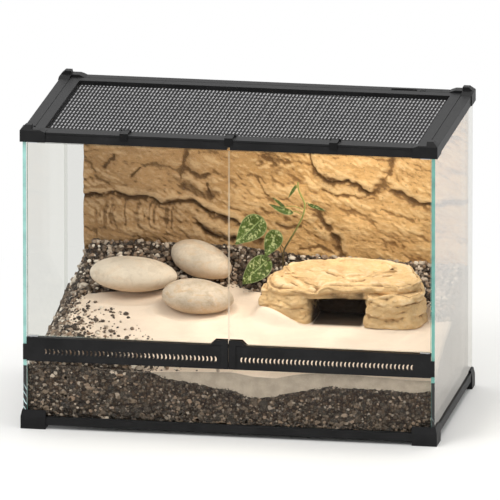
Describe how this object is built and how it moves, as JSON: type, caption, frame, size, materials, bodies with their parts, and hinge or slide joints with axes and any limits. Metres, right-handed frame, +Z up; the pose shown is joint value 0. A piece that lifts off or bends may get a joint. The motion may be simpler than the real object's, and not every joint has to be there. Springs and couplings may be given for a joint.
{
  "type": "reptile terrarium",
  "caption": "Front-opening glass reptile terrarium with a lift-off mesh lid, hinged glass doors over a slotted air bar, rock wall, sand bed, stones, hide and plant.",
  "frame": {"origin": "middle of the footprint, on the surface that the four feet stand on", "axes": "+Z up, the glass doors face -Y, +X is to the right as seen from the doors"},
  "size_m": [0.61, 0.35, 0.452],
  "materials": {
    "frame_plastic": "satin black moulding",
    "floor_plastic": "matt sheet",
    "tank_glass": "clear float glass with green edges",
    "mesh_metal": "dark coated woven mesh",
    "magnet_plating": "nickel plated",
    "plain_steel": "plain",
    "wall_foam": "painted rigid foam, like layered sandstone",
    "gravel_soil": "mixed dark gravel and soil",
    "fine_sand": "pale fine sand",
    "river_stone": "smooth, water worn",
    "hide_resin": "cast, like layered sandstone",
    "plant_foot": "dark moulded foot",
    "plant_bark": "moulded stem",
    "plant_green": "moulded leaves, green with pale veins"
  },
  "bodies": {
    "tank": {"foot_front_left": "frame_plastic", "foot_front_right": "frame_plastic", "foot_rear_left": "frame_plastic", "foot_rear_right": "frame_plastic", "base_rail_front": "frame_plastic", "base_rail_rear": "frame_plastic", "base_rail_left": "frame_plastic", "base_rail_right": "frame_plastic", "floor_panel": "floor_plastic", "pane_left": "tank_glass", "pane_right": "tank_glass", "pane_rear": "tank_glass", "pane_front_lower": "tank_glass", "air_bar_left": "frame_plastic", "air_bar_right": "frame_plastic", "catch_magnets": "magnet_plating", "corner_front_left": "frame_plastic", "corner_front_right": "frame_plastic", "corner_rear_left": "frame_plastic", "corner_rear_right": "frame_plastic", "top_rail_front": "frame_plastic", "top_rail_rear": "frame_plastic", "top_rail_left": "frame_plastic", "top_rail_right": "frame_plastic", "rock_wall": "wall_foam", "soil_bed": "gravel_soil", "sand_layer": "fine_sand", "stone_left": "river_stone", "stone_rear": "river_stone", "stone_front": "river_stone", "rock_hide": "hide_resin", "plant_base": "plant_foot", "plant_stem": "plant_bark", "plant_leaves": "plant_green"},
    "door_left": {"door_pane_left": "tank_glass", "door_pull_left": "frame_plastic", "strike_plate_left": "plain_steel", "pivot_lower_left": "plain_steel", "pivot_upper_left": "plain_steel"},
    "door_right": {"door_pane_right": "tank_glass", "door_pull_right": "frame_plastic", "strike_plate_right": "plain_steel", "pivot_lower_right": "plain_steel", "pivot_upper_right": "plain_steel"},
    "lid": {"lid_frame": "frame_plastic", "lid_mesh": "mesh_metal", "lid_retainer": "frame_plastic", "clip_pins": "plain_steel"},
    "clip_left": {"lid_clip_left": "frame_plastic"},
    "clip_middle": {"lid_clip_middle": "frame_plastic"},
    "clip_right": {"lid_clip_right": "frame_plastic"},
    "shutter": {"cable_shutter": "frame_plastic"}
  },
  "joints": [
    {"name": "door_left_swing", "type": "hinge", "parent": "tank", "child": "door_left", "pos_m": [-0.2897, -0.1687, 0.132], "axis": [0, 0, -1], "range_deg": [0, 110]},
    {"name": "door_right_swing", "type": "hinge", "parent": "tank", "child": "door_right", "pos_m": [0.2897, -0.1687, 0.132], "axis": [0, 0, 1], "range_deg": [0, 110]},
    {"name": "lid_lift", "type": "slide", "parent": "tank", "child": "lid", "axis": [0, 0, 1], "range_m": [0, 0.08]},
    {"name": "clip_left_flip", "type": "hinge", "parent": "lid", "child": "clip_left", "pos_m": [-0.153, -0.1515, 0.4449], "axis": [-1, 0, 0], "range_deg": [0, 100]},
    {"name": "clip_middle_flip", "type": "hinge", "parent": "lid", "child": "clip_middle", "pos_m": [0, -0.1515, 0.4449], "axis": [-1, 0, 0], "range_deg": [0, 100]},
    {"name": "clip_right_flip", "type": "hinge", "parent": "lid", "child": "clip_right", "pos_m": [0.153, -0.1515, 0.4449], "axis": [-1, 0, 0], "range_deg": [0, 100]},
    {"name": "shutter_slide", "type": "slide", "parent": "tank", "child": "shutter", "axis": [-1, 0, 0], "range_m": [0, 0.037]}
  ]
}
